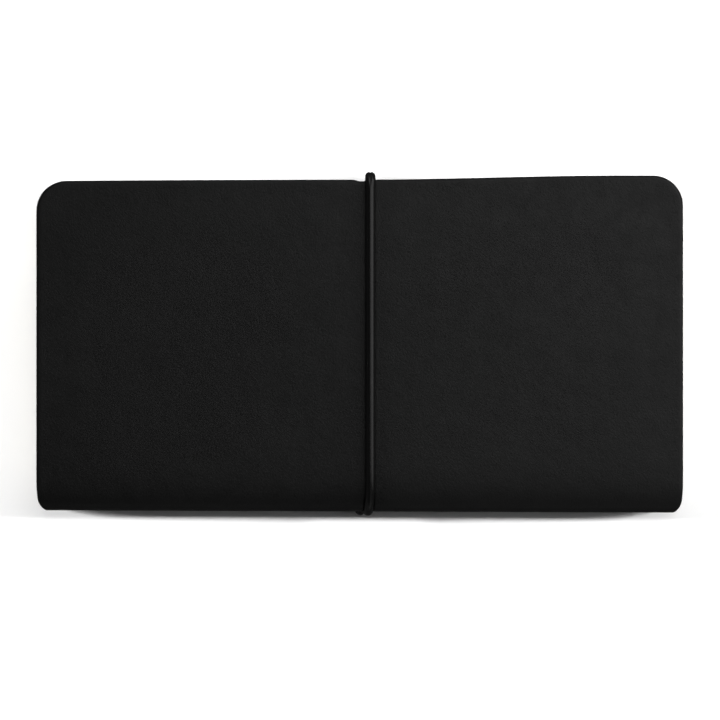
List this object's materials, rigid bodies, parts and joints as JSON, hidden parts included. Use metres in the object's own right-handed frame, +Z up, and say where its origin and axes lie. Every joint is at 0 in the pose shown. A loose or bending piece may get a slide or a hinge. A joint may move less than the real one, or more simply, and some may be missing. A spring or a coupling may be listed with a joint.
{
  "type": "sketchbook",
  "caption": "Soft black leatherette sketchbook with rounded corners and spine, sewn cream pages and a round elastic cord closure; it opens flat with its pages fanned.",
  "frame": {"origin": "on the surface that the book lies on, under the middle of the closed book with its cord", "axes": "+X along the spine, +Y from the spine to the fore-edge, +Z up out of the front cover"},
  "size_m": [0.21, 0.1128, 0.0218],
  "materials": {
    "cover_leather": "fine grained soft black leatherette, satin",
    "cover_board": "grey bookbinder's board",
    "endpaper": "plain cream endpaper",
    "drawing_paper": "cream drawing paper",
    "elastic": "black braided sheath over rubber",
    "thread": "waxed linen thread",
    "band": "woven black band",
    "gauze": "open woven gauze",
    "clip_steel": "stamped steel"
  },
  "bodies": {
    "back_cover": {"back_cover_leather": "cover_leather", "back_board": "cover_board", "back_pastedown": "endpaper", "elastic_cord": "elastic"},
    "spine": {"spine_leather": "cover_leather", "spine_liner": "cover_board", "spine_gauze": "gauze", "sewing_thread": "thread", "head_band": "band", "tail_band": "band", "elastic_end_clip": "clip_steel"},
    "front_cover": {"front_cover_leather": "cover_leather", "front_board": "cover_board", "front_pastedown": "endpaper"},
    "signature_1": {"signature_1": "drawing_paper", "back_flyleaf": "endpaper"},
    "signature_2": {"signature_2": "drawing_paper"},
    "signature_3": {"signature_3": "drawing_paper"},
    "signature_4": {"signature_4": "drawing_paper"},
    "signature_5": {"signature_5": "drawing_paper"},
    "signature_6": {"signature_6": "drawing_paper"},
    "signature_7": {"signature_7": "drawing_paper"},
    "signature_8": {"signature_8": "drawing_paper", "front_flyleaf": "endpaper"}
  },
  "joints": [
    {"name": "book_opening", "type": "hinge", "parent": "back_cover", "child": "spine", "pos_m": [0, -0.05219, 0.00204], "axis": [1, 0, 0], "range_deg": [0, 90], "deforming": ["elastic_cord"]},
    {"name": "front_cover_hinge", "type": "hinge", "parent": "spine", "child": "front_cover", "pos_m": [0, -0.05219, 0.01696], "axis": [1, 0, 0], "range_deg": [0, 90]},
    {"name": "signature_1_fold", "type": "hinge", "parent": "spine", "child": "signature_1", "pos_m": [0, -0.04823, 0.00451], "axis": [1, 0, 0], "range_deg": [-75, 0]},
    {"name": "signature_2_fold", "type": "hinge", "parent": "spine", "child": "signature_2", "pos_m": [0, -0.04823, 0.00594], "axis": [1, 0, 0], "range_deg": [-54, 0]},
    {"name": "signature_3_fold", "type": "hinge", "parent": "spine", "child": "signature_3", "pos_m": [0, -0.04823, 0.00736], "axis": [1, 0, 0], "range_deg": [-36, 0]},
    {"name": "signature_4_fold", "type": "hinge", "parent": "spine", "child": "signature_4", "pos_m": [0, -0.04823, 0.00879], "axis": [1, 0, 0], "range_deg": [-20, 0]},
    {"name": "signature_5_fold", "type": "hinge", "parent": "spine", "child": "signature_5", "pos_m": [0, -0.04823, 0.01021], "axis": [1, 0, 0], "range_deg": [0, 20]},
    {"name": "signature_6_fold", "type": "hinge", "parent": "spine", "child": "signature_6", "pos_m": [0, -0.04823, 0.01164], "axis": [1, 0, 0], "range_deg": [0, 36]},
    {"name": "signature_7_fold", "type": "hinge", "parent": "spine", "child": "signature_7", "pos_m": [0, -0.04823, 0.01306], "axis": [1, 0, 0], "range_deg": [0, 54]},
    {"name": "signature_8_fold", "type": "hinge", "parent": "spine", "child": "signature_8", "pos_m": [0, -0.04823, 0.01449], "axis": [1, 0, 0], "range_deg": [0, 75]}
  ],
  "couplings": [
    {"joint": "front_cover_hinge", "follows": "book_opening", "ratio": 1},
    {"joint": "signature_1_fold", "follows": "book_opening", "ratio": -0.83333},
    {"joint": "signature_2_fold", "follows": "book_opening", "ratio": -0.6},
    {"joint": "signature_3_fold", "follows": "book_opening", "ratio": -0.4},
    {"joint": "signature_4_fold", "follows": "book_opening", "ratio": -0.22222},
    {"joint": "signature_5_fold", "follows": "book_opening", "ratio": 0.22222},
    {"joint": "signature_6_fold", "follows": "book_opening", "ratio": 0.4},
    {"joint": "signature_7_fold", "follows": "book_opening", "ratio": 0.6},
    {"joint": "signature_8_fold", "follows": "book_opening", "ratio": 0.83333}
  ]
}
